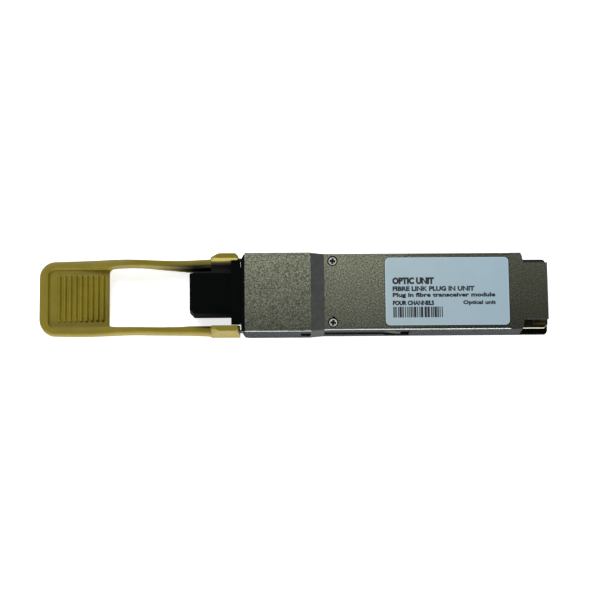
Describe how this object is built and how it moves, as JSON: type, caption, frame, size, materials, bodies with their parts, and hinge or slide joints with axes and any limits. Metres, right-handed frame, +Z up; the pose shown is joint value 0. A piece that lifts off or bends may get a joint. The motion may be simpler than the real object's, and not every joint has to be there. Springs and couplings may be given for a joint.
{
  "type": "optical transceiver module",
  "caption": "Pluggable fibre optic transceiver module with a metal shell, gasket band, sprung side latches, a looped pull tab, a dust plug and a card edge contact end.",
  "frame": {"origin": "centre line of the underside, at the shoulder that stops the module against its cage", "axes": "+X towards the card edge end, +Y across, +Z up through the label side"},
  "size_m": [0.1209, 0.019, 0.0092],
  "materials": {
    "zinc_shell": "nickel plated zinc die casting with a fine sand-cast grain",
    "screw_steel": "bright plated screw heads",
    "gasket": "conductive elastomer, smooth and dark grey",
    "label_film": "pale blue grey printed film",
    "spring_steel": "stamped stainless steel strip",
    "tab_rubber": "khaki thermoplastic elastomer, satin",
    "plug_plastic": "black moulded plastic",
    "receptacle_plastic": "black glass filled plastic",
    "ferrule_plastic": "dark filled ferrule compound",
    "fibre": "aqua ribbon coating",
    "lens_plastic": "amber clear moulding",
    "chip": "black moulded or bare silicon chip",
    "capacitor": "tan ceramic body with tinned ends",
    "resistor": "black ceramic body with tinned ends",
    "ferrite": "dark grey ferrite with tinned ends",
    "card_laminate": "dark solder mask over glass epoxy with a cream edge",
    "gold_pads": "hard gold plating",
    "spreader_copper": "bare copper alloy plate",
    "thermal_gel": "soft heat conducting pad",
    "absorber": "radio absorbing sheet"
  },
  "bodies": {
    "housing": {"lower_housing": "zinc_shell", "upper_cover": "zinc_shell", "cover_screws": "screw_steel", "card_screws": "screw_steel", "emi_gasket": "gasket", "product_label": "label_film", "latch_return_springs": "spring_steel", "front_bezel": "receptacle_plastic", "fibre_receptacle": "receptacle_plastic", "mt_ferrule": "ferrule_plastic", "guide_pins": "spring_steel", "pin_keeper": "spring_steel", "fibre_ribbon": "fibre", "lens_block": "lens_plastic", "lens_clip": "spring_steel", "laser_array": "chip", "photodiode_array": "chip", "laser_driver_chip": "chip", "receiver_amplifier_chip": "chip", "microcontroller": "chip", "power_regulator": "chip", "chip_capacitors": "capacitor", "chip_resistors": "resistor", "ferrite_beads": "ferrite", "paddle_card": "card_laminate", "top_contact_pads": "gold_pads", "bottom_contact_pads": "gold_pads", "heat_spreader": "spreader_copper", "lower_thermal_pad": "thermal_gel", "upper_thermal_pad": "thermal_gel", "absorber_sheet": "absorber"},
    "latch": {"pull_tab": "tab_rubber", "left_latch_arm": "spring_steel", "right_latch_arm": "spring_steel"},
    "dust_plug": {"dust_plug": "plug_plastic"}
  },
  "joints": [
    {"name": "release_pull", "type": "slide", "parent": "housing", "child": "latch", "axis": [-1, 0, 0], "range_m": [0, 0.0025], "stiffness_N_per_m": 600, "springref_m": -0.001, "deforming": ["latch_return_springs"]},
    {"name": "dust_plug_pull", "type": "slide", "parent": "housing", "child": "dust_plug", "axis": [-1, 0, 0], "range_m": [0, 0.012]}
  ]
}
